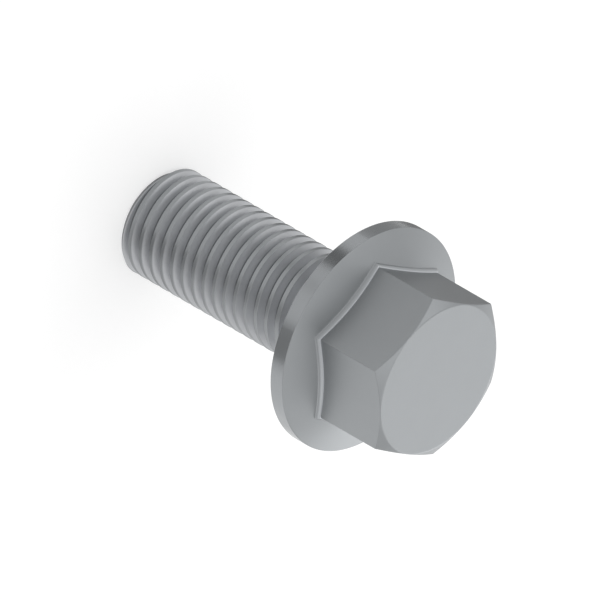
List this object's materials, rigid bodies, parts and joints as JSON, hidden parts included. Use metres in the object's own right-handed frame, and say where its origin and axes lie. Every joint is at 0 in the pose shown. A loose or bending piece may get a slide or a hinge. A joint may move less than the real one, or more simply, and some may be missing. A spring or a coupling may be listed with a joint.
{
  "type": "flange bolt",
  "caption": "Hexagon head bolt with a conical flange, a plain neck and a fine right-hand thread.",
  "frame": {"origin": "centre of the bearing face under the flange", "axes": "+Z along the bolt's axis, from the thread to the head; +X through a corner of the hexagon"},
  "size_m": [0.025, 0.025, 0.0397],
  "materials": {
    "satin_steel": "satin, plain steel grey"
  },
  "bodies": {
    "root": {"flange_bolt": "satin_steel"}
  },
  "joints": []
}
